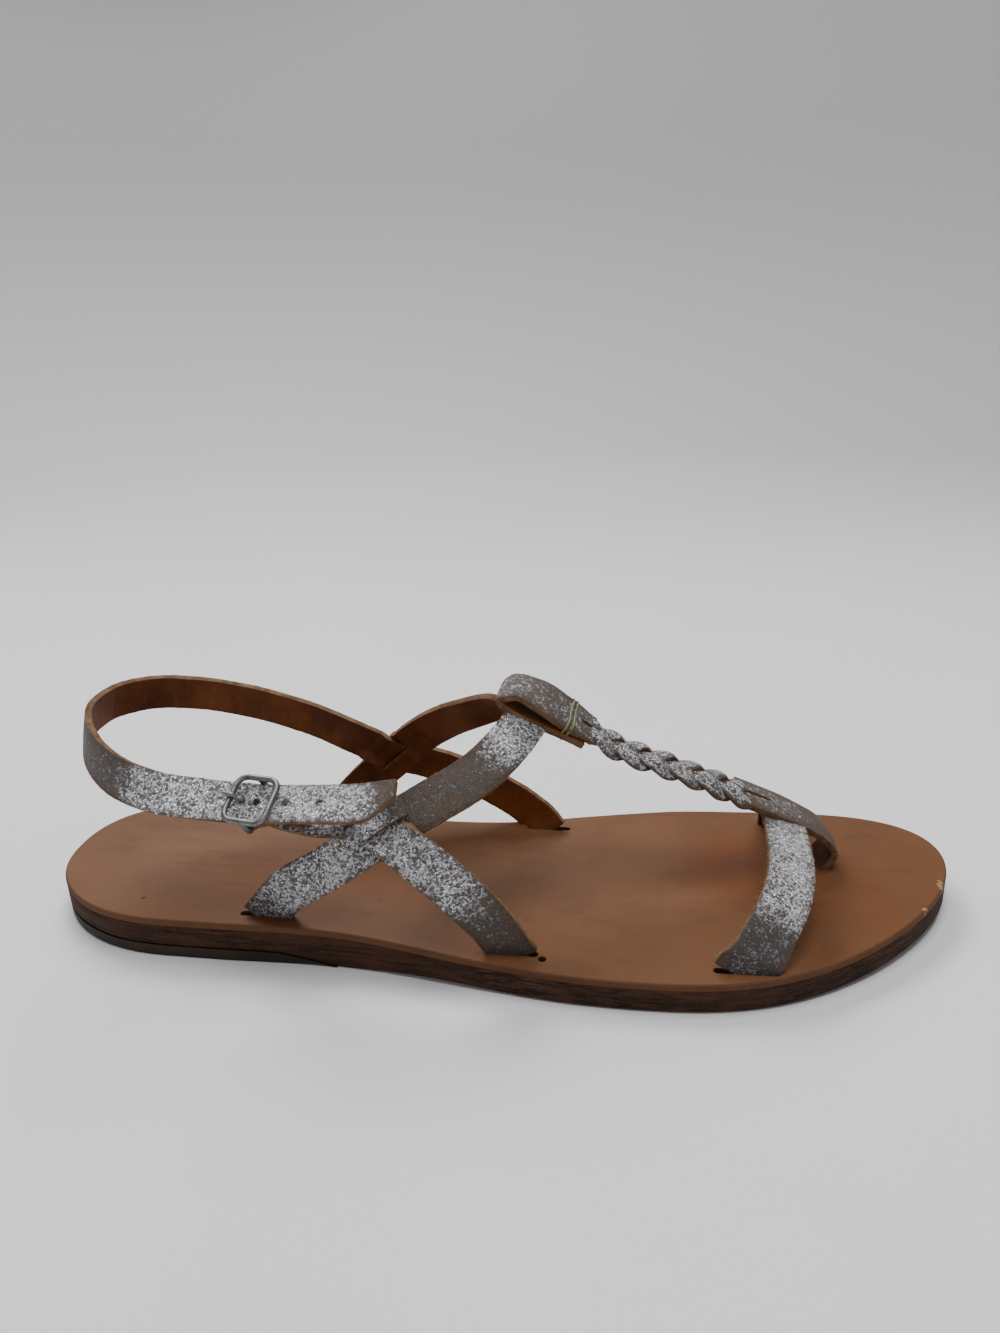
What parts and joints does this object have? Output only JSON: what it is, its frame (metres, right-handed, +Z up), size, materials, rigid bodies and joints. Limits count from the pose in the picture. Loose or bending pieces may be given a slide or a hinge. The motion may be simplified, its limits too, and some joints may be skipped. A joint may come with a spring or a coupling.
{
  "type": "leather sandal",
  "caption": "Flat leather sandal for the right foot, with crossed instep straps, a buckled ankle strap, a braided strap to the toe post and a toe strap.",
  "frame": {"origin": "middle of the outer box, on the floor plane the sole stands on", "axes": "+X from heel to toe, +Y to the medial (big toe) side, +Z up"},
  "size_m": [0.266, 0.0869, 0.0709],
  "materials": {
    "insole": "smooth",
    "outsole": "stained edge",
    "heel_wedge": "stained edge",
    "heel_piece": "matt",
    "upper": "crackled silver foil",
    "buckle_frame": "antique",
    "buckle_prong": "antique",
    "tab_rivet": "dark"
  },
  "bodies": {
    "root": {"insole": "insole", "outsole": "outsole", "heel_wedge": "heel_wedge", "heel_piece": "heel_piece", "upper": "upper", "buckle_frame": "buckle_frame", "buckle_prong": "buckle_prong", "tab_rivet": "tab_rivet"}
  },
  "joints": []
}
